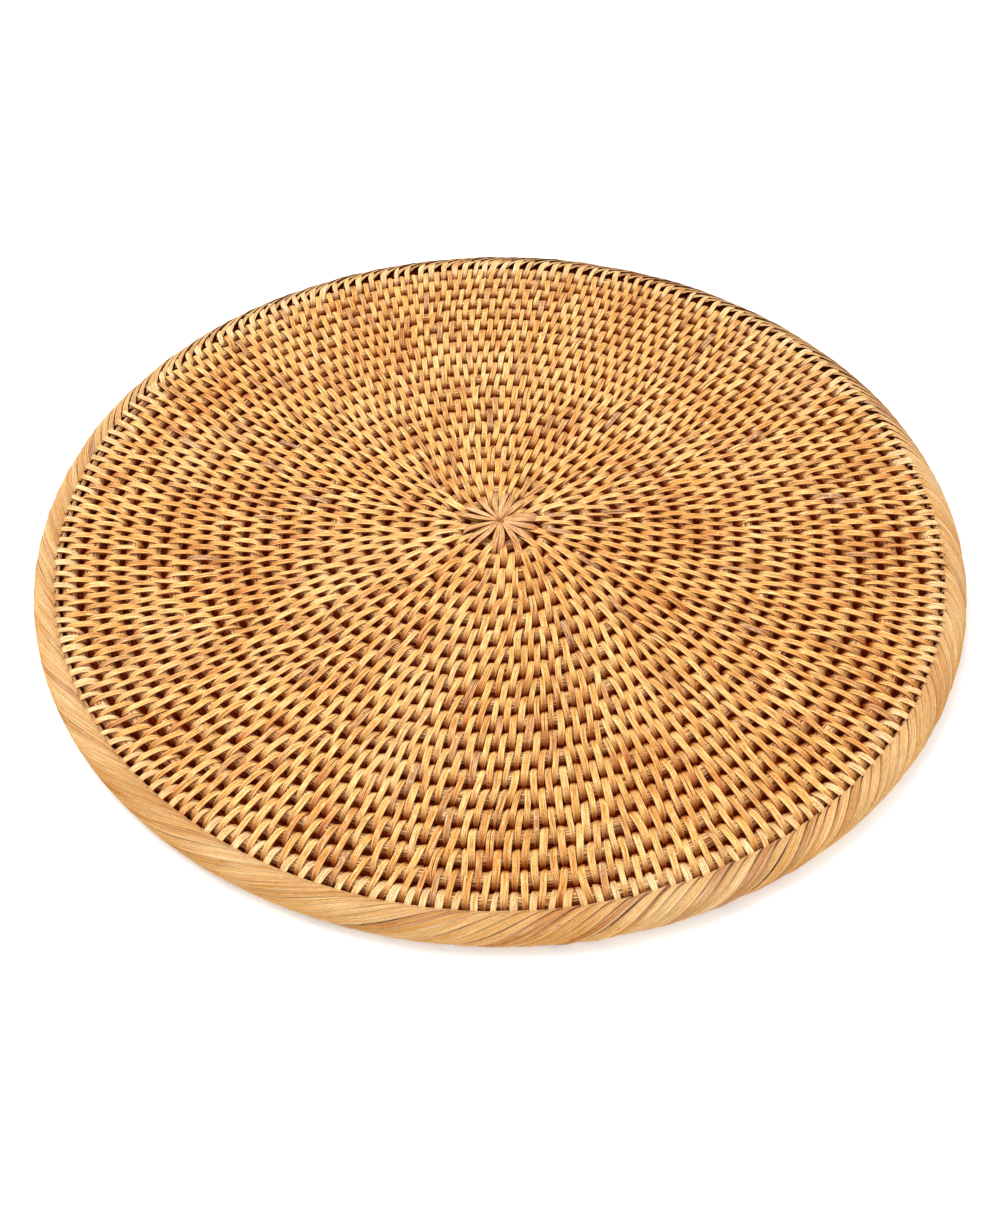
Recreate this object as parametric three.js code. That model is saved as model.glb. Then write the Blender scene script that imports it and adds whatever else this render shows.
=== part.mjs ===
// Round coiled rattan placemat.
// One reed is wound flat into a spiral and sewn to itself with cane strips. The strips' ends are
// rolled over the edge into a rim, and the first strips cross as a star over the centre.
// Millimetres, +Z up. The origin is on the table, under the centre of the mat.

import * as THREE from 'three';

// Driving dimensions
const matDiameter = 330;
const rimHeight = 11;
const rimWidth = 7.8;
const seamGap = 0.35; // between pieces that touch
const coilPitch = 7.12; // from one turn of the reed to the next
const coilTop = 10; // crest of the sewn coil
const coilBottom = 2.3;
const topGrooveDepth = 2.3;
const bottomGrooveDepth = 1.6;
const windTurns = 20; // the last one tapers away under the rim
const turnSteps = 40;
const taperSteps = 22; // the reed's end runs out over these steps of the last turn
const rimStrips = 188;
const stripLift = 0.4; // raised edge of a rim strip over its neighbour
const stripSlant = 1.45; // run along the rim for each millimetre down its side
const starStrips = 18;
const starReach = 14.6;
const starThickness = 1.5;

const matRadius = matDiameter / 2;
const rimInnerRadius = matRadius - rimWidth;
const discRadius = rimInnerRadius - seamGap;
const startRadius = discRadius - windTurns * coilPitch;

// Cane and reed colours, from the sewn face, the rim and the star
const sewnCane = new THREE.MeshStandardMaterial({ color: 0xd9a45e, roughness: 0.62, metalness: 0 });
const rimCane = new THREE.MeshStandardMaterial({ color: 0xe3b978, roughness: 0.55, metalness: 0 });
const starCane = new THREE.MeshStandardMaterial({ color: 0xd8a574, roughness: 0.6, metalness: 0 });

// A closed body collected point by point
class Body {
  constructor() {
    this.points = [];
    this.faces = [];
  }

  point(radius, angle, z) {
    this.points.push(radius * Math.cos(angle), radius * Math.sin(angle), z);
    return this.points.length / 3 - 1;
  }

  triangle(a, b, c) {
    if (a !== b && b !== c && c !== a) this.faces.push(a, b, c);
  }

  quad(a, b, c, d) {
    this.triangle(a, b, c);
    this.triangle(a, c, d);
  }

  mesh(name, material) {
    const geometry = new THREE.BufferGeometry();
    geometry.setAttribute('position', new THREE.Float32BufferAttribute(this.points, 3));
    geometry.setIndex(this.faces);
    geometry.computeVertexNormals();
    const mesh = new THREE.Mesh(geometry, material);
    mesh.name = name;
    return mesh;
  }
}

// Share of a pitch that the coil has gained at a step of its turn. Half of it is gained evenly and
// half in the stretch at the left, where the mat was started.
function windShare(step) {
  const turn = step / turnSteps;
  const stretch = THREE.MathUtils.smoothstep(turn, 0.22, 0.55);
  return 0.5 * turn + 0.5 * stretch;
}

// One face of the sewn coil, as a sheet of rows along the spiral. rows lists, for one pitch, how far
// across it each row lies and the height there, and the first row is the groove. up is true for the
// upper face. Returns the outer edge, one point for each step.
function coilFace(body, rows, centreHeight, up) {
  const perTurn = rows.length;
  const lastRow = windTurns * perTurn;
  const taperRow = lastRow - perTurn;
  const face = (a, b, c) => (up ? body.triangle(a, b, c) : body.triangle(a, c, b));
  const grooveRadius = (turn, step) =>
    Math.min(startRadius + coilPitch * (turn + windShare(step)), discRadius);
  const endStep = (row) => (row > taperRow ? taperSteps : turnSteps);
  const points = [];

  for (let row = 0; row <= lastRow; row += 1) {
    const turn = Math.floor(row / perTurn);
    const part = rows[row % perTurn];
    const grid = [];
    for (let step = 0; step < endStep(row); step += 1) {
      const angle = (2 * Math.PI * step) / turnSteps;
      const inner = row === lastRow ? discRadius : grooveRadius(turn, step);
      const outer = row >= taperRow ? discRadius : inner + coilPitch;
      const fullness = Math.min(1, (outer - inner) / coilPitch);
      const height = rows[0].height + (part.height - rows[0].height) * fullness;
      const edge = row === taperRow && step >= taperSteps;
      grid.push(body.point(edge ? discRadius : inner + (outer - inner) * part.across, angle, height));
    }
    points.push(grid);
  }

  const at = (row, step) => {
    if (step < endStep(row)) return points[row][step];
    if (row > taperRow) return points[taperRow][step];
    return points[Math.min(row + perTurn, lastRow)][0];
  };
  for (let row = 0; row < lastRow; row += 1) {
    for (let step = 0; step < endStep(row + 1); step += 1) {
      face(at(row, step), at(row + 1, step), at(row + 1, step + 1));
      face(at(row, step), at(row + 1, step + 1), at(row, step + 1));
    }
  }

  const centre = body.point(0, 0, centreHeight);
  for (let step = 0; step < turnSteps; step += 1) {
    face(centre, at(0, step), at(0, (step + 1) % turnSteps));
  }
  for (let row = 0; row < perTurn; row += 1) {
    face(at(0, turnSteps - 1), at(row + 1, 0), at(row, 0));
  }
  return points[taperRow].map((inside, step) => (step < taperSteps ? at(lastRow, step) : inside));
}

// The coiled disc: reed and stitches as one flat body with the coil raised on both faces
function coiledDisc() {
  const body = new Body();
  const topRows = [
    { across: 0, height: coilTop - topGrooveDepth },
    { across: 0.28, height: coilTop },
    { across: 0.72, height: coilTop },
  ];
  const bottomRows = [
    { across: 0, height: coilBottom + bottomGrooveDepth },
    { across: 0.5, height: coilBottom },
  ];
  const topEdge = coilFace(body, topRows, topRows[0].height, true);
  const bottomEdge = coilFace(body, bottomRows, bottomRows[0].height, false);
  topEdge.forEach((corner, step) => {
    const next = (step + 1) % turnSteps;
    body.quad(corner, bottomEdge[step], bottomEdge[next], topEdge[next]);
  });
  return body.mesh('coiled_disc', sewnCane);
}

// The rolled rim: a closed ring whose rounded side carries the slanted strips. side is how far down
// the strip a point lies, and lift how much of the raised edge it shows.
function rolledRim() {
  const section = [
    { radius: rimInnerRadius, z: 9.4, lift: 0.2 },
    { radius: matRadius - 5.4, z: rimHeight - stripLift, lift: 1 },
    { radius: matRadius - 2.4, z: 9.9, lift: 1 },
    { radius: matRadius - stripLift - 0.2, z: 7.4, lift: 1 },
    { radius: matRadius - stripLift, z: 4.6, lift: 1 },
    { radius: matRadius - 1.3, z: 1.5, lift: 0.6 },
    { radius: matRadius - 2.9, z: 0, lift: 0 },
    { radius: rimInnerRadius + 0.9, z: 0, lift: 0 },
  ];
  const footRow = 6; // the first of the two rows on the table
  const columns = 2 * rimStrips;
  const raisedShare = 0.3; // where across a strip its raised edge lies
  const body = new Body();
  let side = 0;
  const rings = section.map((corner, row) => {
    const before = section[Math.max(row - 1, 0)];
    const after = section[Math.min(row + 1, footRow)];
    if (row <= footRow) side += Math.hypot(corner.radius - before.radius, corner.z - before.z);
    const slant = row <= footRow ? side : side / 2;
    const length = Math.hypot(after.radius - before.radius, after.z - before.z) || 1;
    const outward = (before.z - after.z) / length;
    const upward = (after.radius - before.radius) / length;
    const ring = [];
    for (let column = 0; column < columns; column += 1) {
      const raised = column % 2;
      const strip = Math.floor(column / 2) + (raised ? raisedShare : 0);
      const angle = (2 * Math.PI * strip) / rimStrips - (slant * stripSlant) / matRadius;
      const rise = raised * corner.lift * stripLift;
      ring.push(body.point(corner.radius + outward * rise, angle, corner.z + upward * rise));
    }
    return ring;
  });
  rings.forEach((ring, row) => {
    const below = rings[(row + 1) % rings.length];
    ring.forEach((corner, column) => {
      const next = (column + 1) % columns;
      body.quad(corner, below[column], below[next], ring[next]);
    });
  });
  return body.mesh('rolled_rim', rimCane);
}

// The star: the first strips, laid from the centre over the start of the coil
function centreStar() {
  const underside = coilTop - topGrooveDepth + seamGap;
  const top = underside + starThickness + 0.9;
  const rows = [
    { reach: 0.2, drop: 0.1 },
    { reach: 0.62, drop: 0.45 },
    { reach: 1, drop: 1.35 },
  ];
  const valleyDepth = 0.4;
  const valleyReach = 0.88; // how far out the dip between two strips comes at the tips
  const columns = 2 * starStrips;
  const body = new Body();
  const ringOf = (reach, height, dip) => {
    const ring = [];
    for (let column = 0; column < columns; column += 1) {
      const valley = column % 2;
      const radius = starReach * reach * (valley && reach === 1 ? valleyReach : 1);
      ring.push(body.point(radius, (Math.PI * column) / starStrips, height - valley * dip));
    }
    return ring;
  };
  const rings = rows.map((row) => ringOf(row.reach, top - row.drop, valleyDepth));
  rings.push(ringOf(1, underside, 0));
  const crown = body.point(0, 0, top);
  const base = body.point(0, 0, underside);
  for (let column = 0; column < columns; column += 1) {
    const next = (column + 1) % columns;
    body.triangle(crown, rings[0][column], rings[0][next]);
    for (let row = 1; row < rings.length; row += 1) {
      body.quad(rings[row - 1][column], rings[row][column], rings[row][next], rings[row - 1][next]);
    }
    body.triangle(base, rings[rings.length - 1][next], rings[rings.length - 1][column]);
  }
  return body.mesh('centre_star', starCane);
}

const placemat = new THREE.Group();
placemat.name = 'rattan_placemat';
placemat.add(coiledDisc(), rolledRim(), centreStar());

export default placemat;
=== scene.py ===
import math

import bpy
import numpy as np
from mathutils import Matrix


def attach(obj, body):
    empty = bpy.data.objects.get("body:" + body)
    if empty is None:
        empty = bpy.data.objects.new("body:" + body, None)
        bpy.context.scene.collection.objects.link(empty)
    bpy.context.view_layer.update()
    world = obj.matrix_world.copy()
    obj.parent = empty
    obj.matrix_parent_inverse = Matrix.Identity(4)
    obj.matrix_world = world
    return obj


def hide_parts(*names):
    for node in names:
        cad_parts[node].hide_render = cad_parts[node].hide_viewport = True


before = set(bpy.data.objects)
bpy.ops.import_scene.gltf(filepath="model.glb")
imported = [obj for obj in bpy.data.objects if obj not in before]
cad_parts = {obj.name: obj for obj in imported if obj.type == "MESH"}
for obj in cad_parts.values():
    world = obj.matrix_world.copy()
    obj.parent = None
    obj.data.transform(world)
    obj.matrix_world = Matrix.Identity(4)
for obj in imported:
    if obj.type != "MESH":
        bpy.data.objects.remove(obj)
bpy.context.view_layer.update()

# Round rattan placemat: a reed coil sewn with cane strips, a star at the centre and a rolled rim.
# Lengths are in millimetres, apart from the studio's, and turn into metres where a mesh is made.
bpy.ops.object.select_all(action="DESELECT")
mm = 0.001
fullTurn = 2 * math.pi
print("frame loaded")

# Camera, floor and light, in metres
camera = {"place": (0, -0.3551, 0.3658), "tilt": 41.269, "lens": 41.22, "sensor": 36}
studio = {
    "floorSize": 6, "floorDrop": 0.0001, "floorColour": (0.84, 0.825, 0.80, 1), "floorRough": 0.9,
    "floorShine": 0.1, "floorGlow": 0.19, "sky": 0.97,
    "lamps": {  # place, size and power; both look at the centre of the mat
        "keyLamp": ((-0.45, 0.25, 1.1), 0.7, 10.5), "fillLamp": ((0.4, -0.9, 0.9), 0.9, 3)},
}

bpy.ops.object.camera_add(location=camera["place"], rotation=(math.radians(camera["tilt"]), 0, 0))
view = bpy.context.object
view.name = "camera"
view.data.lens = camera["lens"]
view.data.sensor_width = camera["sensor"]
bpy.context.scene.camera = view
bpy.context.scene.view_settings.view_transform = "Standard"

bpy.ops.mesh.primitive_plane_add(size=studio["floorSize"], location=(0, 0, -studio["floorDrop"]))
floor = bpy.context.object
floor.name = "floor"
floorPaint = bpy.data.materials.new("floorPaint")
floorPaint.use_nodes = True
floorShader = floorPaint.node_tree.nodes["Principled BSDF"]
floorShader.inputs["Base Color"].default_value = studio["floorColour"]
floorShader.inputs["Roughness"].default_value = studio["floorRough"]
floorShader.inputs["Specular IOR Level"].default_value = studio["floorShine"]
floorShader.inputs["Emission Color"].default_value = (1, 1, 1, 1)
floorShader.inputs["Emission Strength"].default_value = studio["floorGlow"]
floor.data.materials.append(floorPaint)

sky = bpy.data.worlds.new("studioSky")
sky.use_nodes = True
sky.node_tree.nodes["Background"].inputs["Color"].default_value = (1, 1, 1, 1)
sky.node_tree.nodes["Background"].inputs["Strength"].default_value = studio["sky"]
bpy.context.scene.world = sky

for lampName, (place, size, power) in studio["lamps"].items():
    bpy.ops.object.light_add(type="AREA", location=place)
    lamp = bpy.context.object
    lamp.name = lampName
    lamp.data.size = size
    lamp.data.energy = power
    aside, back, up = place
    lamp.rotation_euler = (math.atan2(math.hypot(aside, back), up), 0, math.atan2(aside, -back))
print("camera and studio ready")

# The coil's path, from the centre out to the rim
coil = {
    "start": 13.8, "pitch": 7.12, "rimEdge": 156.3,  # radii of its start and of its last groove
    "height": 6.25, "reedWide": 2.86, "reedHigh": 3.05,  # middle of the reed, and its half sizes
    "stretchFrom": 0.2, "stretchOver": 0.37, "stretchGain": 0.75,  # where a turn moves out fastest
    "thinnest": 3.0,  # the last turn is sewn while this much of it is left
    "starDip": 0.75, "dipFrom": 15.5, "dipOver": 5.5,  # it lies lower where the star crosses it
}


def grooveRadius(angle):
    # radius of the groove inside the coil at an angle that goes on growing turn by turn
    turn = np.floor(angle / fullTurn)
    share = angle / fullTurn - turn
    stretch = np.clip((share - coil["stretchFrom"]) / coil["stretchOver"], 0, 1)
    stretch = stretch * stretch * (3 - 2 * stretch)
    gain = coil["stretchGain"]
    return coil["start"] + coil["pitch"] * (turn + (1 - gain) * share + gain * stretch)


def crestDrop(radius):
    share = np.clip((coil["dipFrom"] - radius) / coil["dipOver"], 0, 1)
    return coil["starDip"] * share * share * (3 - 2 * share)


# Where the strips are sewn: each starts in a groove, crosses two turns and ends two grooves out
sewing = {
    "seed": 7, "starStrips": 17, "starFrom": 2.6,  # the first row, and its first strip's angle
    "firstTurn": -3, "lastTurn": 20, "sewnFrom": -2.1, "leastRadius": 6,
    "turnsAdded": 10,  # they keep an angle above zero where the lean is read
    # distance between the strips of a row at these radii
    "spacingAt": (18, 24, 32, 38, 48, 56, 70, 90, 110, 130),
    "spacing": (5.2, 4.4, 4.9, 4.7, 4.75, 5, 4.8, 4.75, 5.02, 5.35),
    # a wide gap takes two strips once the row is this much of a strip behind
    "pairOwed": 0.5, "leastOwed": -0.2, "pairGap": 1.08, "pairPlaces": (0.28, 0.72),
    "gapWaver": 0.025, "waver": 0.25, "ease": 0.62, "even": 0.75, "evenRounds": 30,
    "jitter": (0.42, 0.2, 0.42), "jitterFrom": 25,  # at the three grooves; less inside a radius
    # lean of the strips in degrees at every thirty round the mat, near the hub and far out
    "hubLean": (4, 1, 1, 6, 12, 10, 7, 3, 4, 11, 11, 4), "hubReach": 60,
    "outerLean": (1, -4, -2, 8, 11, 10.5, 12, 6, 4.5, 7.5, 3.5, -1), "blendOver": 45,
}
random = np.random.default_rng(sewing["seed"])


def leanAt(angle, radius):
    places = np.radians(np.arange(13) * 30)
    turned = math.fmod(angle + sewing["turnsAdded"] * fullTurn, fullTurn)
    hub, far = (np.interp(turned, places, sewing[key] + sewing[key][:1])
                for key in ("hubLean", "outerLean"))
    share = min(max((radius - sewing["hubReach"]) / sewing["blendOver"], 0), 1)
    return math.radians(hub * (1 - share) + far * share)


def sewStarts():
    # each row starts in the gaps that the row before leaves where it crosses the groove
    starts = [fullTurn * (k / sewing["starStrips"] + sewing["firstTurn"]) + sewing["starFrom"]
              for k in range(sewing["starStrips"])]
    mids, shifts, between, gapShare = [], [], [], []
    firstLast = [(0, 0)]
    owed = 0
    k = 0
    while starts[k] <= fullTurn * sewing["lastTurn"]:
        here = starts[k]
        radius = max(float(grooveRadius(here + fullTurn)), sewing["leastRadius"])
        shift = coil["pitch"] * math.tan(leanAt(here, radius)) + random.normal(0, sewing["waver"])
        ease = sewing["ease"] * ((starts[k - 1] + starts[k + 1]) / 2 - here) if k else 0
        shifts.append(fullTurn - shift / radius)
        mids.append(here + shifts[k] + ease)
        if k:
            gap = mids[k] - mids[k - 1]
            further = float(grooveRadius(here + 2 * fullTurn))
            spacing = np.interp(further, sewing["spacingAt"], sewing["spacing"])
            owed = max(owed + gap * further / spacing - 1, sewing["leastOwed"])
            places = [0.5 + random.normal(0, sewing["gapWaver"])]
            if owed > sewing["pairOwed"] and gap * further > sewing["pairGap"] * spacing:
                places = sewing["pairPlaces"]
                owed -= 1
            firstLast.append((len(starts), len(starts) + len(places) - 1))
            for place in places:
                starts.append(mids[k - 1] + place * gap)
                between.append(k - 1)
                gapShare.append(place)
        k += 1
    count = len(mids)
    starts, mids, shifts = (np.array(values) for values in (starts, mids, shifts))
    between, gapShare = np.array(between), np.array(gapShare)
    # even the spacing out along each row while the rows keep their order
    for _ in range(sewing["evenRounds"]):
        beside = mids.copy()
        beside[1:-1] = (mids[2:] + mids[:-2]) / 2
        mids = (1 - sewing["even"]) * (starts[:count] + shifts) + sewing["even"] * beside
        gaps = mids[between + 1] - mids[between]
        starts[sewing["starStrips"]:] = mids[between] + gapShare * gaps
    starts = starts[:count]
    ends = mids + (mids - starts)
    for j in range(1, count - 1):
        left, right = firstLast[j][1], firstLast[j + 1][0]
        if right < count:
            ends[j] = (mids[left] + mids[right]) / 2
    return starts, mids, ends


starts, mids, ends = sewStarts()
print("strips placed:", len(starts))

# Tools for cane strips


def modelStrip(section, segments):
    # one straight strip: its section drawn out along X, with a station at each whole number
    bpy.ops.object.select_all(action="DESELECT")
    bpy.ops.mesh.primitive_circle_add(vertices=len(section), radius=0.5, fill_type="NGON")
    strip = bpy.context.object
    for corner, (across, rise) in zip(strip.data.vertices, section):
        corner.co = (0, across, rise)
    bpy.ops.object.mode_set(mode="EDIT")
    bpy.ops.mesh.select_all(action="SELECT")
    for _ in range(segments):
        bpy.ops.mesh.extrude_region_move(TRANSFORM_OT_translate={"value": (1, 0, 0)})
    bpy.ops.mesh.select_all(action="SELECT")
    bpy.ops.mesh.normals_make_consistent(inside=False)
    bpy.ops.object.mode_set(mode="OBJECT")
    mesh = strip.data
    points = np.empty(len(mesh.vertices) * 3)
    mesh.vertices.foreach_get("co", points)
    points = points.reshape(-1, 3)
    corners = np.empty(len(mesh.loops), dtype=np.int64)
    mesh.loops.foreach_get("vertex_index", corners)
    firsts = np.empty(len(mesh.polygons), dtype=np.int64)
    mesh.polygons.foreach_get("loop_start", firsts)
    bpy.data.objects.remove(strip)
    bpy.data.meshes.remove(mesh)
    return {"station": np.rint(points[:, 0]).astype(int), "across": points[:, 1],
            "rise": points[:, 2], "corners": corners, "firsts": firsts}


sharpFrom = 42  # degrees between faces from which an edge is crisp


def newPiece(name, points, corners, firsts, uv, marks):
    # a finished mesh from arrays, in metres, with its UV map and its point attributes
    mesh = bpy.data.meshes.new(name)
    mesh.vertices.add(len(points))
    mesh.vertices.foreach_set("co", (points * mm).astype(np.float32).ravel())
    mesh.loops.add(len(corners))
    mesh.loops.foreach_set("vertex_index", corners.astype(np.int32))
    mesh.polygons.add(len(firsts))
    mesh.polygons.foreach_set("loop_start", firsts.astype(np.int32))
    mesh.update(calc_edges=True)
    mesh.validate()
    layer = mesh.uv_layers.new(name="caneMap")
    layer.data.foreach_set("uv", uv[corners].astype(np.float32).ravel())
    for markName, values in marks.items():
        mark = mesh.attributes.new(markName, "FLOAT", "POINT")
        mark.data.foreach_set("value", values.astype(np.float32).ravel())
    piece = bpy.data.objects.new(name, mesh)
    bpy.context.scene.collection.objects.link(piece)
    bpy.ops.object.select_all(action="DESELECT")
    bpy.context.view_layer.objects.active = piece
    piece.select_set(True)
    bpy.ops.object.shade_smooth_by_angle(angle=math.radians(sharpFrom))
    return piece


def unit(vectors):
    return vectors / np.maximum(np.linalg.norm(vectors, axis=-1, keepdims=True), 1e-9)


def polar(radius, angle, height):
    return np.stack([radius * np.cos(angle), radius * np.sin(angle), height + 0 * radius], axis=-1)


def facing(angle, outR, outZ):
    # direction at an angle round the mat that goes outR outwards and outZ up
    return np.stack([outR * np.cos(angle), outR * np.sin(angle), outZ + 0 * angle], axis=-1)


def layStrips(name, strip, centre, out, width, thick, roll, marks, side=None):
    # copies of one strip, bent along their paths and joined. centre and out hold strips x stations
    # x 3, marks one value for each strip, and roll tips the strips about their length
    tangent = unit(np.gradient(centre, axis=1))
    if side is None:
        side = unit(np.cross(out, tangent))
        out = unit(np.cross(tangent, side))
    roll = np.broadcast_to(roll, width.shape)[..., None]
    side, out = (side * np.cos(roll) + out * np.sin(roll),
                 out * np.cos(roll) - side * np.sin(roll))
    at = strip["station"]
    across = strip["across"][None, :, None] * np.broadcast_to(width, out.shape[:2])[:, at, None]
    rise = strip["rise"][None, :, None] * np.broadcast_to(thick, out.shape[:2])[:, at, None]
    points = centre[:, at] + side[:, at] * across + out[:, at] * rise
    steps = np.linalg.norm(np.diff(centre, axis=1), axis=2)
    along = np.concatenate([np.zeros((len(centre), 1)), np.cumsum(steps, axis=1)], axis=1)
    copies, each = points.shape[:2]
    uv = np.stack([along[:, at], across[..., 0]], axis=-1).reshape(-1, 2)
    order = np.arange(copies)[:, None]
    corners = (strip["corners"][None] + each * order).ravel()
    firsts = (strip["firsts"][None] + len(strip["corners"]) * order).ravel()
    full = {"stripShare": np.tile(at / at.max(), copies),
            "stripAcross": np.tile(2 * strip["across"], copies),
            "stripEdge": np.ones(copies * each)}
    for markName, values in marks.items():
        full[markName] = np.repeat(values, each)
    return newPiece(name, points.reshape(-1, 3), corners, firsts, uv, full)


# The strips sewn over the coil
stitch = {
    "section": ((0, 0.5), (0.48, 0.3), (0.48, -0.5), (-0.48, -0.5), (-0.48, 0.3)),
    "width": 2.12, "widthSpread": 0.25, "widthRange": (1.6, 2.9), "thick": 0.48,
    # a strip is narrower and hooks aside where it dives, and its ends bend as an arch does
    "pinch": (0.66, 0.86, 0.98, 1.03, 1.04, 1.02, 1.03, 1, 0.96, 0.86, 0.66),
    "hook": (0.5, 0.42, 0.22, 0.06, 0, 0, 0, 0, 0.05, 0.12, 0.2),
    "turns": (66, 52, 37, 22, 8),  # degrees round the arch at the stations of each half
    "flat": 1.2, "sink": 0.2, "fall": 3.05, "fallShare": 0.45, "rise": 0.5,
    "hubStart": 0.8, "leastRadius": 8, "hookFull": 30,  # radii near the hub
    "hubWider": 0.2, "hubReach": 60, "hubOver": 30,
    "roomShare": 0.5, "roomSpare": 0.1,  # room for a strip, from the distance to its neighbours
    "narrowest": 1.35, "tipShare": 0.12, "tip": 0.3,  # of a strip squeezed between two others
    "liftSpread": 0.07, "rollSpread": 7,
    "splitFrom": 0.97, "splitWidth": 0.46, "splitApart": 0.62,  # some are split along their length
    "zones": (62, 98, 128), "undersideZones": (108,),  # radii where one piece ends
}
stitchStrip = modelStrip(stitch["section"], len(stitch["pinch"]) - 1)
count = len(starts)
tone = random.random(count)
seedMark = random.random(count)
fullWidth = np.clip(random.normal(stitch["width"], stitch["widthSpread"], count),
                    *stitch["widthRange"])
liftEach = random.normal(0, stitch["liftSpread"], count)
rollEach = np.radians(random.normal(0, stitch["rollSpread"], count))
spaceStart = np.gradient(starts)
spaceEnd = np.gradient(ends)

inner = grooveRadius(starts)
middle = np.minimum(grooveRadius(starts + fullTurn), coil["rimEdge"])
outer = np.minimum(grooveRadius(starts + 2 * fullTurn), coil["rimEdge"])
inner = np.maximum(inner, stitch["hubStart"])
isSewn = (starts > sewing["sewnFrom"] * fullTurn) & (coil["rimEdge"] - middle >= coil["thinnest"])
isEdge = (~isSewn) & (coil["rimEdge"] - inner >= coil["thinnest"]) & (starts > 0)
angleStart, angleMid, angleEnd = (
    angle + random.normal(0, jitter, count) / np.maximum(radius, sewing["jitterFrom"])
    for angle, jitter, radius in zip((starts, mids - fullTurn, ends - 2 * fullTurn),
                                     sewing["jitter"], (inner, middle, outer)))
crest = coil["height"] + coil["reedHigh"] + stitch["thick"] / 2 + stitch["rise"]


def halfArch(span):
    # half a strip's arch from its middle out: how far across, how far down, and the way out
    turn = np.radians(stitch["turns"])[None]
    flat = stitch["flat"] * span / coil["pitch"]
    reach = (span - stitch["sink"] - flat) / np.sin(turn[0, 0])
    high = np.minimum(stitch["fall"], stitch["fallShare"] * span) / (1 - np.cos(turn[0, 0]))
    away, up = np.sin(turn) / reach, np.cos(turn) / high
    size = np.hypot(away, up)
    return flat + reach * np.sin(turn), high * (1 - np.cos(turn)), away / size, up / size


def sewnPath(pick, below):
    # stations of the picked strips: radius, height, and the way out of the coil
    near, mid, far = (edge[pick][:, None] for edge in (inner, middle, outer))
    across, drop, away, up = halfArch(mid - near)
    farAcross, farDrop, farAway, farUp = (part[:, ::-1] for part in halfArch(far - mid))
    radius = np.concatenate([mid - across, mid, mid + farAcross], axis=1)
    height = crest + liftEach[pick][:, None] - np.concatenate([drop, 0 * mid, farDrop], axis=1)
    if not below:
        height -= crestDrop(radius)
    outR = np.concatenate([-away, 0 * mid, farAway], axis=1)
    outZ = np.concatenate([up, 1 + 0 * mid, farUp], axis=1)
    if below:
        height = 2 * coil["height"] - height
        outZ = -outZ
    return radius, height, outR, outZ


def bendThrough(radius, pick, first, second, third):
    # angle at each radius for a strip that crosses its three grooves at the given angles
    near, far = inner[pick][:, None], outer[pick][:, None]
    share = np.clip((radius - near) / (far - near), 0, 1)
    return (first[:, None] * (1 - share) * (1 - 2 * share)
            + 4 * second[:, None] * share * (1 - share)
            - third[:, None] * share * (1 - 2 * share))


def sewnStrips(name, pick, below=False):
    # the second half of each split strip is laid beside the first
    split = pick[seedMark[pick] > stitch["splitFrom"]]
    half = np.concatenate([-1.0 * (seedMark[pick] > stitch["splitFrom"]), np.ones(len(split))])
    half = half[:, None]
    pick = np.concatenate([pick, split])
    radius, height, outR, outZ = sewnPath(pick, below)
    if below:
        back = np.minimum(pick + 1, count - 1)
        first, third = angleStart[back], angleEnd[pick]
        angle = bendThrough(radius, pick, first, (first + third) / 2, third)
    else:
        angle = bendThrough(radius, pick, angleStart[pick], angleMid[pick], angleEnd[pick])
        hooked = np.minimum(1, radius / stitch["hookFull"])
        angle += np.array(stitch["hook"])[None] * hooked / np.maximum(radius, stitch["leastRadius"])
    atStart, atEnd = (
        stitch["roomShare"] * space[pick][:, None] * radius + stitch["roomSpare"]
        for space in (spaceStart, spaceEnd))
    room = np.minimum(atStart, atEnd)
    nearHub = np.clip((stitch["hubReach"] - radius) / stitch["hubOver"], 0, 1)
    width = fullWidth[pick][:, None] * np.array(stitch["pinch"])[None]
    width = width * (1 + stitch["hubWider"] * nearHub)
    narrowest = np.minimum(stitch["narrowest"], stitch["tipShare"] * radius + stitch["tip"])
    width = np.minimum(width, np.maximum(room, narrowest))
    width = np.where(half == 0, 1, stitch["splitWidth"]) * width
    apart = half * stitch["splitApart"] * width / np.maximum(radius, stitch["leastRadius"])
    marks = {"stripTone": tone[pick], "stripSeed": seedMark[pick]}
    piece = layStrips(name, stitchStrip, polar(radius, angle + apart, height),
                      facing(angle, outR, outZ), width, stitch["thick"],
                      rollEach[pick][:, None], marks)
    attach(piece, "root")
    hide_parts("coiled_disc")
    return piece


def inZones(zones):
    # the sewn strips from the centre out, parted at these radii
    for low, high in zip((0,) + zones, zones + (math.inf,)):
        yield np.where(isSewn & (inner >= low) & (inner < high))[0]


sewnPieces = [sewnStrips("topStrips" + str(zone), pick)
              for zone, pick in enumerate(inZones(stitch["zones"]), 1)]
underside = [sewnStrips("undersideStrips" + str(zone), pick, below=True)
             for zone, pick in enumerate(inZones(stitch["undersideZones"]), 1)]
print("strips sewn:", int(isSewn.sum()))

# The reed coil under the strips: round, but drawn out at its sides to meet the turns beside it
reed = {"firstTurn": -2, "sides": 16, "longestStep": 5, "widestStep": 0.2, "tightest": 8,
        "endRadius": 0.4, "side": 0.7, "leastSide": 0.75, "overlap": 0.07, "dipShare": 0.5,
        "grainTurn": 3}


def reedPath():
    angle = reed["firstTurn"] * fullTurn
    angles = []
    while coil["rimEdge"] - grooveRadius(angle) > 2 * reed["endRadius"]:
        angles.append(angle)
        bend = max(float(grooveRadius(angle)), reed["tightest"])
        angle += min(reed["longestStep"] / bend, reed["widestStep"])
    angles = np.array(angles)
    near = grooveRadius(angles)
    far = np.minimum(grooveRadius(angles + fullTurn), coil["rimEdge"])
    return angles, (near + far) / 2, (far - near) / 2


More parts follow.
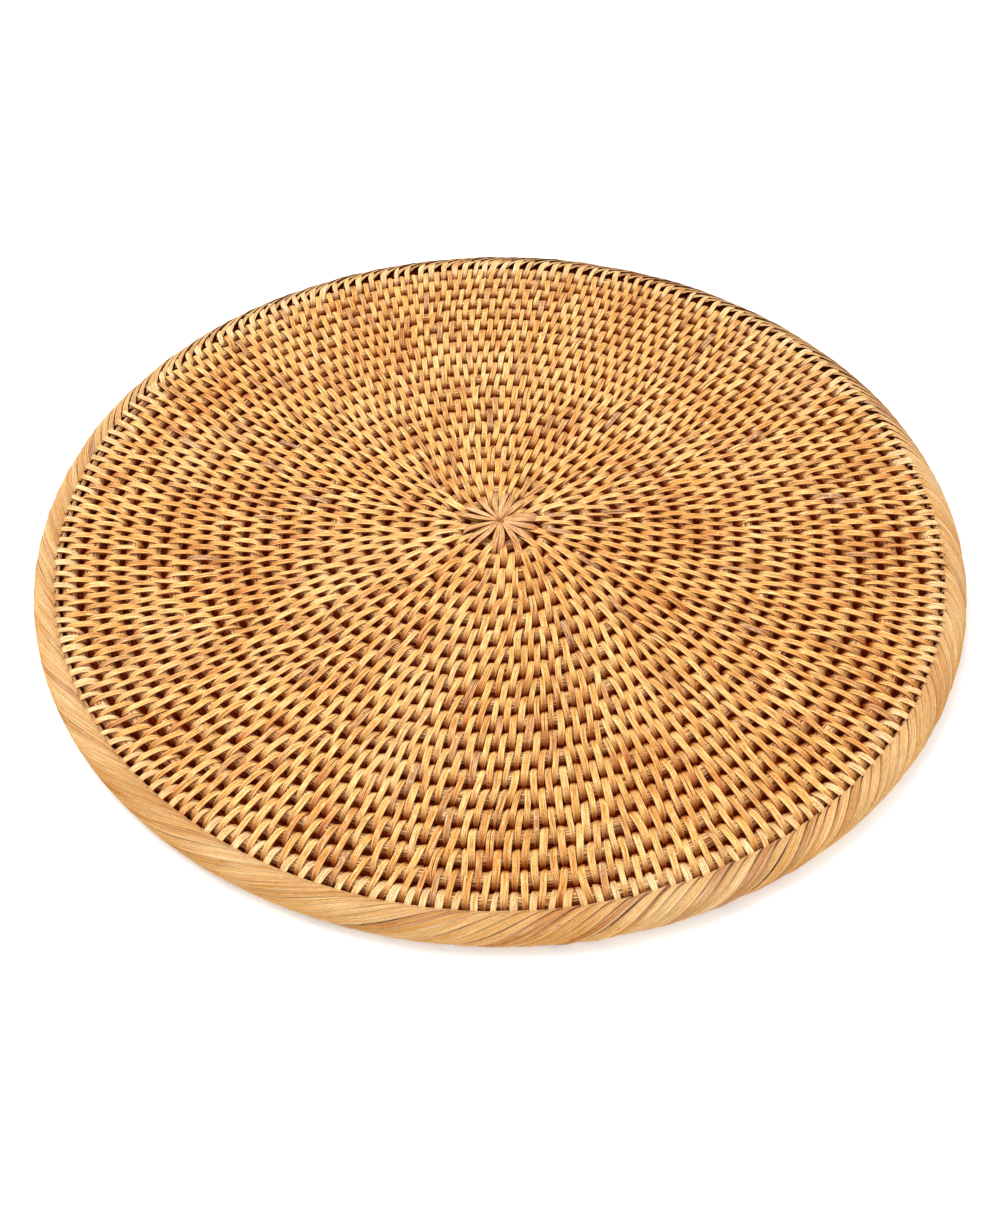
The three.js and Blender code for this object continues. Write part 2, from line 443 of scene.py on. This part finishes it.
def windReed():
    turned, radius, halfPitch = reedPath()
    wide = np.minimum(coil["reedWide"],
                      np.maximum(halfPitch - reed["side"], reed["leastSide"] * halfPitch))
    high = np.minimum(coil["reedHigh"], halfPitch) - reed["dipShare"] * crestDrop(radius)
    centre = polar(radius, turned, coil["height"] + coil["reedHigh"] - crestDrop(radius) - high)
    away = polar(np.ones_like(turned), turned, np.zeros_like(turned))
    sides = reed["sides"]
    about = np.arange(sides) * fullTurn / sides - math.pi / 2
    isSide = np.isclose(np.abs(np.cos(about)), 1)[None]
    reach = np.where(isSide, halfPitch[:, None] + reed["overlap"], wide[:, None])
    points = (centre[:, None] + away[:, None] * (reach * np.cos(about))[..., None]
              + np.array((0, 0, 1.0)) * (high[:, None] * np.sin(about))[..., None])
    run = np.concatenate([[0], np.cumsum(np.linalg.norm(np.diff(centre, axis=0), axis=1))])
    grain = reed["grainTurn"] * (about + math.pi / 2)
    uv = np.stack([run[:, None] + 0 * about, grain + 0 * wide[:, None]], axis=-1)
    cell = np.arange(len(turned))[:, None] * sides + np.arange(sides)
    beside = np.roll(cell, -1, axis=1)
    quads = np.stack([cell[:-1], cell[1:], beside[1:], beside[:-1]], axis=-1).reshape(-1)
    corners = np.concatenate([quads, cell[0], cell[-1][::-1]])
    firsts = np.concatenate([np.arange(0, len(quads), 4), [len(quads), len(quads) + sides]])
    print("reed wound:", round(run[-1] * mm, 2), "m long")
    return newPiece("reedCoil", points.reshape(-1, 3), corners, firsts, uv.reshape(-1, 2), {})


reedCoil = windReed()
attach(reedCoil, "root")
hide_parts("coiled_disc")

# the tight first curl of the reed, under the star
curl = {"radius": 8, "bottom": 4.2, "top": 8.3}
bpy.ops.object.select_all(action="DESELECT")
bpy.ops.mesh.primitive_cylinder_add(vertices=32, radius=curl["radius"] * mm,
                                    depth=(curl["top"] - curl["bottom"]) * mm,
                                    location=(0, 0, (curl["top"] + curl["bottom"]) / 2 * mm))
reedCurl = bpy.context.object
reedCurl.name = reedCurl.data.name = "reedCurl"
bpy.ops.object.transform_apply()
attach(reedCurl, "root")
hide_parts("coiled_disc")

# The rolled rim. The last row's strips go into it, and broad strips run slanting down its outside.
rim = {
    "profile": ((156.5, 8.6), (156.9, 9.3), (157.6, 9.75), (158.8, 9.95), (160.2, 9.8),
                (161.5, 9.25), (162.6, 8.4), (163.4, 7.2), (163.8, 5.4), (163.7, 3.6),
                (163.0, 2.0), (161.8, 0.95), (160.2, 0.75), (158.4, 0.9)),
    "meanRadius": 164, "segments": 12, "crowding": 1.35,  # stations lie closer towards the head
    "section": ((0, 0.5), (0.5, 0.3), (0.5, -0.5), (-0.5, -0.5), (-0.5, 0.3)),
    "thick": 0.48, "tuck": 0.6, "apart": 0.05,
    "ribbon": 1,  # width across of a strip where the strips leave the rim bare
    "headFull": 0.75, "headBare": 0.2, "headReach": 1.6, "point": 1.9, "pointReach": 0.8,
    "lift": 0.75, "liftSpread": 0.35, "pressFrom": 1.25, "pressLeast": 0.45, "tiltBare": -0.6,
    # round the mat in degrees: run along the rim for each millimetre down, how late the bend
    # comes, how fully the strips cover the rim, and how far their edges stand open
    "at": (0, 30, 60, 90, 120, 150, 180, 200, 225, 245, 262, 276, 290, 315, 340),
    "pull": (3.2, 3.5, 3.6, 3.4, 3.2, 3, 2.7, 2.9, 3.3, 3.4, 3, 2.2, 1.9, 2.1, 2.7),
    "hook": (1.2, 1.4, 1.5, 1.4, 1.3, 1.1, 0.8, 0.6, 0.5, 0.5, 0.45, 0.4, 0.25, 0.6, 1),
    "cover": (0.8, 0.15, 0.05, 0.05, 0.05, 0.3, 0.9, 1, 1, 1, 1, 1, 1, 1, 0.95),
    "open": (0.55, 0.8, 0.85, 0.9, 0.9, 0.8, 0.5, 0.3, 0.22, 0.22, 0.3, 0.6, 1, 0.9, 0.7),
    "pullSpread": 0.04,
}
lastRow = {
    "wider": 1.08, "enters": 1, "pinch": (0.8, 0.95, 1, 1, 1),
    # its ends go under the rim's strips where these cover the rim, and over it where they don't
    "under": {"out": (-1.6, -1, -0.45, 0.05, 0.5, 0.9),
              "height": (10, 9.97, 9.82, 9.5, 9.1, 8.65), "width": (1, 1, 0.98, 0.95, 0.9, 0.85),
              "shift": (0, 0, 0, -0.03, -0.06, -0.1), "lean": (0.03, 0.12, 0.4, 0.6, 0.7, 0.72)},
    "over": {"out": (-1.2, -0.4, 0.4, 1.2, 2, 2.8),
             "height": (9.98, 10.08, 10.25, 10.42, 10.5, 10.5),
             "width": (1, 1, 0.96, 0.85, 0.62, 0.25),
             "shift": (0, 0, -0.08, -0.25, -0.5, -0.85), "lean": (0, -0.15, -0.2, -0.1, 0, 0.1)},
}


def roundMat(key, angle):
    places = np.radians(rim["at"] + (360,))
    values = rim[key] + (rim[key][0],)
    return np.interp(np.mod(angle, fullTurn), places, values)


edge = np.where(isEdge)[0]
slope = (angleMid[edge] - angleStart[edge]) / (middle[edge] - inner[edge])
edgeAngle = angleStart[edge] + slope * (coil["rimEdge"] + lastRow["enters"] - inner[edge])
edgeAngle = np.mod(edgeAngle, fullTurn)
order = np.argsort(edgeAngle)
edge, slope, edgeAngle = edge[order], slope[order], edgeAngle[order]
toNext = np.mod(np.roll(edgeAngle, -1) - edgeAngle, fullTurn)
edgeMarks = {"stripTone": tone[edge], "stripSeed": seedMark[edge]}


def layLastRow():
    # over one turn of the coil and into the rim
    covered = roundMat("cover", edgeAngle)[:, None]
    fold = {key: covered * np.array(lastRow["under"][key])
            + (1 - covered) * np.array(lastRow["over"][key]) for key in lastRow["under"]}
    near, mid = inner[edge][:, None], middle[edge][:, None]
    across, drop, away, up = halfArch(mid - near)
    bent = across.shape[1]
    radius = np.concatenate([mid - across, coil["rimEdge"] + fold["out"]], axis=1)
    height = np.concatenate([crest + liftEach[edge][:, None] - drop, fold["height"]], axis=1)
    width = lastRow["wider"] * fullWidth[edge][:, None]
    shift = np.concatenate([np.zeros((len(edge), bent)), width * fold["shift"]], axis=1)
    angle = angleStart[edge][:, None] + slope[:, None] * (radius - near) + shift / coil["rimEdge"]
    angle[:, :bent] += np.array(stitch["hook"][:bent])[None] / coil["rimEdge"]
    outR = np.concatenate([-away, fold["lean"]], axis=1)
    out = facing(angle, outR, np.sqrt(1.0 - np.minimum(outR ** 2, 1)))
    width = width * np.concatenate([np.array(lastRow["pinch"]) + 0 * near, fold["width"]], axis=1)
    return layStrips("edgeStrips", stitchStrip, polar(radius, angle, height), out, width,
                     stitch["thick"], rollEach[edge][:, None], edgeMarks)


edgeStrips = layLastRow()
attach(edgeStrips, "root")
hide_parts("rolled_rim")


def layRimStrips():
    # the flat top of each starts beside its last-row strip
    profile = np.array(rim["profile"])
    reach = np.concatenate([[0], np.cumsum(np.linalg.norm(np.diff(profile, axis=0), axis=1))])
    down = reach[-1] * np.linspace(0, 1, rim["segments"] + 1) ** rim["crowding"]
    rimR = np.interp(down, reach, profile[:, 0])
    rimZ = np.interp(down, reach, profile[:, 1])
    slopeR, slopeZ = np.gradient(rimR, down), np.gradient(rimZ, down)
    steep = np.hypot(slopeR, slopeZ)
    slopeR, slopeZ = slopeR / steep, slopeZ / steep
    outR, outZ = -slopeZ, slopeR
    pull, hook, cover, opened = (roundMat(key, edgeAngle)[:, None]
                                 for key in ("pull", "hook", "cover", "open"))
    pull = pull * (1 + rim["pullSpread"] * random.normal(0, 1, pull.shape))
    run = pull * (down - hook * (1 - np.exp(-down / hook)))
    slant = pull * (1 - np.exp(-down / hook))
    # where the strips cover the rim, each fills the room up to the next
    low = edgeAngle - (0.5 * fullWidth[edge] + rim["tuck"]) / coil["rimEdge"]
    high = (edgeAngle + toNext
            - (0.5 * np.roll(fullWidth[edge], -1) + rim["apart"]) / coil["rimEdge"])
    head = cover * rim["headFull"] + (1 - cover) * rim["headBare"]
    filled = np.maximum(cover, head * np.exp(-(down / rim["headReach"]) ** 2))
    fullBand = ((high - low) * coil["rimEdge"])[:, None] * (rimR / coil["rimEdge"])[None]
    width = (1 - filled) * rim["ribbon"] * np.sqrt(1 + slant ** 2) + filled * fullBand
    middleOf = (1 - filled) * edgeAngle[:, None] + filled * ((low + high) / 2)[:, None]
    angle = middleOf - run / rim["meanRadius"]
    press = np.clip(rim["pressFrom"] - down / reach[-1], rim["pressLeast"], 1)[None]
    uneven = 1 + rim["liftSpread"] * random.normal(0, 1, (len(edge), 1)).clip(-1.5, 1.5)
    lift = rim["lift"] * opened * press * uneven
    raised = 0.5 * rim["thick"] + 0.5 * lift
    centre = polar(rimR[None] + outR[None] * raised, angle, rimZ[None] + outZ[None] * raised)
    side = polar(np.ones_like(angle), angle + math.pi / 2, np.zeros_like(angle))
    point = rim["point"] * cover * np.exp(-down / rim["pointReach"]) / width * 2
    side = side + point[..., None] * facing(angle, slopeR, slopeZ)
    tilt = rim["tiltBare"] + (1 - rim["tiltBare"]) * cover
    # the painted shade along each strip's edges is stronger where its edges stand open
    marks = dict(edgeMarks, stripEdge=opened[:, 0] * (0.5 + seedMark[edge]))
    return layStrips("rimStrips", modelStrip(rim["section"], rim["segments"]), centre,
                     facing(angle, outR, outZ), width, rim["thick"],
                     np.arctan2(lift * tilt, width), marks, side=side)


rimStrips = layRimStrips()
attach(rimStrips, "root")
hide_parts("rolled_rim")

# the core that the rim's strips are rolled over
core = {"section": ((156.2, 8.0), (158.6, 9.5), (160.2, 9.45), (162.0, 8.4), (163.1, 6.6),
                    (163.3, 4.4), (162.7, 2.4), (161.4, 1.3), (159.4, 1.15), (157.8, 1.6),
                    (155.2, 3.4), (155.0, 6.6)),
        "steps": 192, "wallTop": 5, "wallEdge": 160}
bpy.ops.object.select_all(action="DESELECT")
bpy.ops.mesh.primitive_circle_add(vertices=len(core["section"]), radius=4 * mm,
                                  fill_type="NOTHING", location=(0.16, 0, 0.005),
                                  rotation=(math.pi / 2, 0, 0))
rimCore = bpy.context.object
rimCore.name = rimCore.data.name = "rimCore"
bpy.ops.object.transform_apply()
for corner, (radius, height) in zip(rimCore.data.vertices, core["section"]):
    corner.co = (radius * mm, 0, height * mm)
bpy.ops.object.mode_set(mode="EDIT")
bpy.ops.mesh.select_all(action="SELECT")
bpy.ops.mesh.spin(steps=core["steps"], angle=fullTurn, center=(0, 0, 0), axis=(0, 0, 1))
bpy.ops.mesh.select_all(action="SELECT")
bpy.ops.mesh.remove_doubles(threshold=0.00001)
bpy.ops.mesh.normals_make_consistent(inside=False)
bpy.ops.object.mode_set(mode="OBJECT")
bpy.ops.object.shade_smooth()
# its inner wall shows from below, as pale as the reed beside it; the rest of the core is painted
# dark as shade
wall = rimCore.data.attributes.new("stripTone", "FLOAT", "POINT")
for corner, mark in zip(rimCore.data.vertices, wall.data):
    low = corner.co.z < core["wallTop"] * mm
    inward = corner.co.xy.length < core["wallEdge"] * mm
    mark.value = float(low and inward)
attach(rimCore, "root")
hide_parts("rolled_rim")
print("rim laid:", len(edge), "strips")

# The star of first strips, and the knot where they cross
star = {
    "count": 17, "turn": 0.1, "turnSpread": 0.1,
    "sweep": -0.06, "sweepSpread": 0.09, "sweepAt": 14,  # angle by which they bend at a radius
    "reach": (13.9, 15.7), "width": 2.3, "thick": 0.5, "roll": 9,
    "radius": (0.35, 1.2, 2.4, 4, 6, 8, 9.8, 11.2, 12.4, 13.3, 13.9),
    "height": (10.2, 10.3, 10.35, 10.38, 10.38, 10.36, 10.31, 10.2, 9.9, 9.3, 8.4),
    "lean": (0, 0, 0, 0, 0, 0, 0.05, 0.25, 0.6, 0.8, 0.9),
    "pinch": (1, 1, 1, 1, 1, 1, 1, 1, 0.96, 0.88, 0.75),
    "liftSpread": 0.08, "widening": 0.26, "centreWidth": 0.4,  # they get wider from the centre out
}
knot = {"height": 10.4, "radius": 0.8, "thick": 0.34, "stretch": (1.5, 0.7, 0.8), "turn": 35}


def layStar():
    many = star["count"]
    reach = random.uniform(*star["reach"], many)[:, None]
    radius = np.array(star["radius"])[None] * reach / star["radius"][-1]
    place = np.arange(many) + random.normal(0, star["turnSpread"], many)
    first = star["turn"] + place * fullTurn / many
    sweep = random.normal(star["sweep"], star["sweepSpread"], many)[:, None]
    angle = first[:, None] + sweep * radius / star["sweepAt"]
    lift = random.normal(0, star["liftSpread"], many)[:, None]
    outR = np.array(star["lean"])[None] + 0 * angle
    width = np.minimum(star["width"], star["widening"] * radius + star["centreWidth"])
    width = width * np.array(star["pinch"])[None]
    marks = {"stripTone": random.random(many), "stripSeed": random.random(many)}
    return layStrips("starStrips", stitchStrip,
                     polar(radius, angle, np.array(star["height"])[None] + lift),
                     facing(angle, outR, np.sqrt(1 - outR ** 2)), width, star["thick"],
                     np.radians(star["roll"]), marks)


starStrips = layStar()
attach(starStrips, "root")
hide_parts("centre_star")

knotPlace = (0, 0, knot["height"] * mm)
bpy.ops.object.select_all(action="DESELECT")
bpy.ops.mesh.primitive_torus_add(location=knotPlace, major_radius=knot["radius"] * mm,
                                 minor_radius=knot["thick"] * mm, major_segments=20,
                                 minor_segments=8)
centreKnot = bpy.context.object
centreKnot.name = centreKnot.data.name = "centreKnot"
bpy.ops.object.mode_set(mode="EDIT")
bpy.ops.mesh.select_all(action="SELECT")
bpy.ops.transform.resize(value=knot["stretch"])
bpy.ops.transform.rotate(value=math.radians(knot["turn"]), orient_axis="Z",
                         center_override=knotPlace)
bpy.ops.object.mode_set(mode="OBJECT")
bpy.ops.object.transform_apply()
bpy.ops.object.shade_smooth()
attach(centreKnot, "root")
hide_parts("centre_star")
print("star laid")

# Finishes. The marks of the cane lie along its strips: how far each noise is drawn out, and where
# its mask begins and is full.
marking = {
    "seedApart": 83.0, "fibreDetail": 4.0, "fibreRough": 0.65,
    "blotch": (2.5, 0.3, 1.7), "split": (0.5, 0.8, 2.3), "crackWidth": 0.035,
    "speck": (16.0, 1.5, 3.1), "speckFrom": 0.6, "speckFull": 0.7,
    "wearScale": 24.0, "wearDetail": 3.0, "bumpDistance": 0.0002,
}


def nodeAdder(tree):
    # a function that adds a node; its inputs take values or the outputs of other nodes
    def add(kind, inputs=None, **settings):
        node = tree.nodes.new("ShaderNode" + kind)
        for setting, value in settings.items():
            setattr(node, setting, value)
        for socket, value in (inputs or {}).items():
            if hasattr(value, "is_output"):
                tree.links.new(value, node.inputs[socket])
            else:
                node.inputs[socket].default_value = value
        return node
    return add


def newGroup(name, inputs, outputs):
    group = bpy.data.node_groups.new(name, "ShaderNodeTree")
    for way, sockets in (("INPUT", inputs), ("OUTPUT", outputs)):
        for socketName, kind in sockets:
            group.interface.new_socket(name=socketName, in_out=way,
                                       socket_type="NodeSocket" + kind)
    given, result = (group.nodes.new("NodeGroup" + way) for way in ("Input", "Output"))
    return group, nodeAdder(group), given, result


def buildGrain():
    # marks of the cane, from the place along and across a strip in millimetres and its own seed
    group, add, given, result = newGroup(
        "caneGrain",
        (("Place", "Vector"), ("Seed", "Float"), ("Run", "Float"), ("Fineness", "Float")),
        (("Fibre", "Float"), ("Blotch", "Float"), ("Crack", "Float"), ("Speck", "Float")))
    parts = add("SeparateXYZ", {"Vector": given.outputs["Place"]})
    along = add("Math", {0: parts.outputs["X"], 1: given.outputs["Run"]}, operation="MULTIPLY")
    across = add("Math", {0: parts.outputs["Y"], 1: given.outputs["Fineness"]},
                 operation="MULTIPLY")
    apart = add("Math", {0: given.outputs["Seed"], 1: marking["seedApart"]},
                operation="MULTIPLY")
    line = add("CombineXYZ", {"X": along.outputs[0], "Y": across.outputs[0],
                              "Z": apart.outputs[0]}).outputs[0]

    def noise(stretch, detail):
        place = line
        if stretch:
            place = add("VectorMath", {0: line, 1: stretch}, operation="MULTIPLY").outputs[0]
        return add("TexNoise", {"Vector": place, "Scale": 1.0, "Detail": detail})

    fibre = noise(None, marking["fibreDetail"])
    fibre.inputs["Roughness"].default_value = marking["fibreRough"]
    blotch = noise(marking["blotch"], 2.0)
    split = noise(marking["split"], 1.0)
    middle = add("Math", {0: split.outputs["Fac"], 1: 0.5}, operation="SUBTRACT")
    near = add("Math", {0: middle.outputs[0]}, operation="ABSOLUTE")
    crack = add("MapRange", {"Value": near.outputs[0], "From Min": 0.0,
                             "From Max": marking["crackWidth"], "To Min": 1.0, "To Max": 0.0})
    dots = noise(marking["speck"], 1.0)
    speck = add("MapRange", {"Value": dots.outputs["Fac"], "From Min": marking["speckFrom"],
                             "From Max": marking["speckFull"]})
    for name, socket in (("Fibre", fibre.outputs["Fac"]), ("Blotch", blotch.outputs["Fac"]),
                         ("Crack", crack.outputs[0]), ("Speck", speck.outputs[0])):
        group.links.new(socket, result.inputs[name])
    return group


def buildDepth():
    # how far down in the weave a point lies, from 0 at the crest to 1 in the grooves, where it sets
    # the painted shade of the grooves, and a slow change of tone over the whole mat
    group, add, given, result = newGroup(
        "grooveDepth", (("Clean", "Float"), ("Deep", "Float")),
        (("Depth", "Float"), ("Wear", "Float")))
    place = add("TexCoord").outputs["Object"]
    parts = add("SeparateXYZ", {"Vector": place})
    low = add("Math", {0: parts.outputs["Z"], 1: coil["height"] * mm}, operation="SUBTRACT")
    far = add("Math", {0: low.outputs[0]}, operation="ABSOLUTE")
    mask = add("MapRange", {"Value": far.outputs[0], "From Min": given.outputs["Clean"],
                            "From Max": given.outputs["Deep"]})
    group.links.new(mask.outputs[0], result.inputs["Depth"])
    wear = add("TexNoise", {"Vector": place, "Scale": marking["wearScale"],
                            "Detail": marking["wearDetail"]})
    group.links.new(wear.outputs["Fac"], result.inputs["Wear"])
    return group


grainGroup = buildGrain()
depthGroup = buildDepth()


def mixColour(add, blend, share, first, second):
    node = add("Mix", data_type="RGBA", blend_type=blend)
    links = node.id_data.links
    for socket, value in zip((node.inputs[0], node.inputs[6], node.inputs[7]),
                             (share, first, second)):
        if hasattr(value, "is_output"):
            links.new(value, socket)
        else:
            socket.default_value = value
    return node.outputs[2]


def rampOf(add, value, stops):
    node = add("ValToRGB", {"Fac": value})
    elements = node.color_ramp.elements
    while len(elements) < len(stops):
        elements.new(0.5)
    for element, (position, colour) in zip(elements, stops):
        element.position = position
        element.color = colour + (1,)
    return node.outputs["Color"]


def maskOf(add, value, span, top=1.0, bottom=0.0):
    # from bottom at the span's first value to top at its second
    return add("MapRange", {"Value": value, "From Min": span[0], "From Max": span[1],
                            "To Min": bottom, "To Max": top}).outputs[0]


def product(add, first, second):
    return add("Math", {0: first, 1: second}, operation="MULTIPLY").outputs[0]


# where each layer of a finish begins and where it is full
spans = {
    "amber": (0.48, 0.66), "cream": (0.44, 0.3), "stain": (0.45, 0.8), "lastEnd": (0.63, 0.98),
    "rimShine": (0.45, 0.85), "edgeFade": (0.2, 0.7), "edgeTo": 0.96, "firstEnd": (0.22, 0.1),
    "worn": (0.5, 0.68), "fresh": (0.46, 0.3), "rough": (0.3, 0.7), "gloss": (0, 0.5),
}


def caneFinish(name, look):
    paint = bpy.data.materials.new(name)
    paint.use_nodes = True
    tree = paint.node_tree
    add = nodeAdder(tree)
    shader = tree.nodes["Principled BSDF"]
    toneHere, seedHere, share, acrossHere, edgeOpen = (
        add("Attribute", attribute_name="strip" + key).outputs["Fac"]
        for key in ("Tone", "Seed", "Share", "Across", "Edge"))
    across = add("Math", {0: acrossHere}, operation="ABSOLUTE").outputs[0]
    grain = add("Group", {
        "Place": add("UVMap", uv_map="caneMap").outputs["UV"], "Seed": seedHere,
        "Run": look["run"], "Fineness": look["fineness"]}, node_tree=grainGroup)
    depth = add("Group", {"Clean": look["shadeFrom"], "Deep": look["deep"]}, node_tree=depthGroup)
    fibre, blotch, crack, speck = (
        grain.outputs[key] for key in ("Fibre", "Blotch", "Crack", "Speck"))
    wear = depth.outputs["Wear"]
    colour = rampOf(add, toneHere, look["tones"])

    def tint(blend, mask, over):
        nonlocal colour
        colour = mixColour(add, blend, mask, colour, look[over])

    tint("MIX", maskOf(add, blotch, spans["amber"], look["amber"]), "amberColour")
    tint("MIX", maskOf(add, blotch, spans["cream"], look["creamShade"]), "paleColour")
    tint("MULTIPLY", maskOf(add, fibre, look["dark"], look["fibreShade"]), "fibreColour")
    tint("MIX", maskOf(add, fibre, look["light"], look["paleShade"]), "paleColour")
    tint("MULTIPLY", product(add, crack, look["crack"]), "crackColour")
    tint("MULTIPLY", product(add, speck, look["speck"]), "crackColour")
    # a few strips are stained towards their far end
    stained = maskOf(add, seedHere, (look["stainFrom"], look["stainFrom"] + 0.01))
    stained = product(add, stained, maskOf(add, share, spans["stain"], look["stain"]))
    tint("MULTIPLY", stained, "stainColour")
    # darker towards the strip's far end, where it dives into a groove: partly the cane's own darker
    # end, partly painted shade
    tint("MULTIPLY", maskOf(add, share, spans["lastEnd"], look["endShade"]), "endColour")
    # painted highlight towards the edges of the top, and painted shade along the edges where strips
    # meet and overlap
    tint("MIX", maskOf(add, across, spans["rimShine"], look["rimShine"]), "paleColour")
    edgeMask = maskOf(add, across, (look["edgeFrom"], spans["edgeTo"]), look["edgeShade"])
    edgeMask = product(add, edgeMask, edgeOpen)
    edgeFade = maskOf(add, share, spans["edgeFade"], look["edgeLast"], 1.0)
    tint("MULTIPLY", product(add, edgeMask, edgeFade), "edgeColour")
    # darker at the strip's first end, where it comes out of a groove: partly the cane's own darker
    # end, partly painted shade
    tint("MULTIPLY", maskOf(add, share, spans["firstEnd"], look["endShade"]), "endColour")
    tint("MULTIPLY", maskOf(add, wear, spans["worn"], look["worn"]), "wornColour")
    tint("MIX", maskOf(add, wear, spans["fresh"], look["fresh"]), "paleColour")
    # painted shade: darker the deeper a point lies in the grooves
    tint("MULTIPLY", product(add, depth.outputs["Depth"], look["paintedGrooveShade"]), "paintedGrooveShadeColour")
    tree.links.new(colour, shader.inputs["Base Color"])
    rough = maskOf(add, fibre, spans["rough"], look["rough"][1], look["rough"][0])
    tree.links.new(rough, shader.inputs["Roughness"])
    gloss = maskOf(add, depth.outputs["Depth"], spans["gloss"], 0.0, look["gloss"])
    tree.links.new(gloss, shader.inputs["Specular IOR Level"])
    relief = add("Math", {0: fibre, 1: crack}, operation="SUBTRACT").outputs[0]
    bump = add("Bump", {"Height": relief, "Strength": look["bump"],
                        "Distance": marking["bumpDistance"]})
    tree.links.new(bump.outputs["Normal"], shader.inputs["Normal"])
    return paint


sewnLook = {
    "run": 0.16, "fineness": 2.4, "tones": (
        (0.0, (0.89, 0.57, 0.20)), (0.3, (0.86, 0.50, 0.138)), (0.7, (0.79, 0.395, 0.084)),
        (0.93, (0.67, 0.285, 0.05)), (0.98, (0.50, 0.21, 0.07)), (1.0, (0.42, 0.22, 0.14))),
    "amber": 0.65, "amberColour": (0.74, 0.35, 0.06, 1), "creamShade": 0.6,
    "fibreShade": 0.85, "fibreColour": (0.64, 0.38, 0.14, 1), "dark": (0.47, 0.66),
    "light": (0.47, 0.33), "paleShade": 0.6, "paleColour": (0.97, 0.72, 0.35, 1),
    "crack": 0.5, "speck": 0.85, "crackColour": (0.36, 0.15, 0.04, 1),
    "stainFrom": 0.91, "stain": 0.85, "stainColour": (0.82, 0.42, 0.16, 1),
    # painted shade at the strips' ends (partly the cane's own darker ends), painted highlight
    # towards their edges and painted shade along them
    "endShade": 0.85, "endColour": (0.62, 0.31, 0.09, 1), "rimShine": 0.35,
    "edgeFrom": 0.88, "edgeShade": 0.95, "edgeLast": 1.0, "edgeColour": (0.45, 0.17, 0.03, 1),
    "worn": 0.45, "wornColour": (0.86, 0.68, 0.46, 1), "fresh": 0.18,
    # painted shade in the grooves: none from 3 mm above or below the reed's middle, full within 1.1
    # mm of it
    "shadeFrom": 0.0030, "deep": 0.0011, "paintedGrooveShade": 1.0, "paintedGrooveShadeColour": (0.44, 0.12, 0.008, 1),
    "rough": (0.45, 0.65), "gloss": 0.27, "bump": 0.6,
}
rimLook = dict(
    sewnLook, run=0.04, fineness=3.4, crack=0.5, endShade=0.0, paintedGrooveShade=0.0, amber=0.5, tones=(
        (0.0, (0.78, 0.50, 0.22)), (0.45, (0.73, 0.43, 0.15)), (0.8, (0.63, 0.32, 0.09)),
        (0.93, (0.52, 0.23, 0.06)), (1.0, (0.40, 0.15, 0.05))),
    paleColour=(0.88, 0.67, 0.38, 1), creamShade=0.5, rimShine=0.2, stainFrom=0.95,
    # painted shadow lines along the rim strips' edges, fading down the rim
    edgeFrom=0.8, edgeShade=1.0, edgeLast=0.35, edgeColour=(0.22, 0.07, 0.01, 1))
edgeLook = dict(sewnLook, endShade=0.0, amber=0.3, tones=(
    (0.0, (0.90, 0.66, 0.35)), (1.0, (0.80, 0.50, 0.20))))
starLook = dict(
    sewnLook, endShade=0.5, amber=0.4, rimShine=0.15, paleShade=0.45, creamShade=0.3,
    # painted shade along the star strips' edges
    edgeFrom=0.75, edgeColour=(0.35, 0.12, 0.03, 1), tones=(
        (0.0, (0.82, 0.52, 0.25)), (0.5, (0.71, 0.41, 0.18)), (1.0, (0.58, 0.29, 0.11))))
reedLook = dict(
    sewnLook, run=0.1, fineness=2.2, tones=((0.0, (0.84, 0.46, 0.14)), (1.0, (0.84, 0.46, 0.14))),
    amber=0.75, amberColour=(0.38, 0.12, 0.02, 1), dark=(0.49, 0.55), light=(0.49, 0.44),
    fibreShade=0.8, fibreColour=(0.40, 0.13, 0.02, 1), paleShade=0.75,
    paleColour=(0.98, 0.72, 0.38, 1), creamShade=0.3, rimShine=0.0,
    crack=0.9, crackColour=(0.24, 0.06, 0.006, 1), endShade=0.0, edgeShade=0.0,
    # the reed's painted shade in the grooves
    shadeFrom=0.0027, deep=0.0011, paintedGrooveShadeColour=(0.24, 0.045, 0.002, 1))
# the core is painted dark as shade where it shows between the rim's strips
coreLook = dict(  # dark between the rim's strips, and as the reed on its inner wall
    reedLook, tones=((0.0, (0.17, 0.05, 0.006)), (1.0, (0.62, 0.31, 0.08))),
    paleShade=0.0, creamShade=0.0, worn=0.0, fresh=0.0, paintedGrooveShade=0.0, gloss=0.0)

sewnCane = caneFinish("sewnCane", sewnLook)
for piece in sewnPieces + underside:
    piece.data.materials.append(sewnCane)
edgeStrips.data.materials.append(caneFinish("edgeCane", edgeLook))
rimStrips.data.materials.append(caneFinish("rimCane", rimLook))
starStrips.data.materials.append(caneFinish("starCane", starLook))
reedBrown = caneFinish("reedBrown", reedLook)
for piece in (reedCoil, reedCurl, centreKnot):
    piece.data.materials.append(reedBrown)
rimCore.data.materials.append(caneFinish("coreBrown", coreLook))
print("finishes ready")
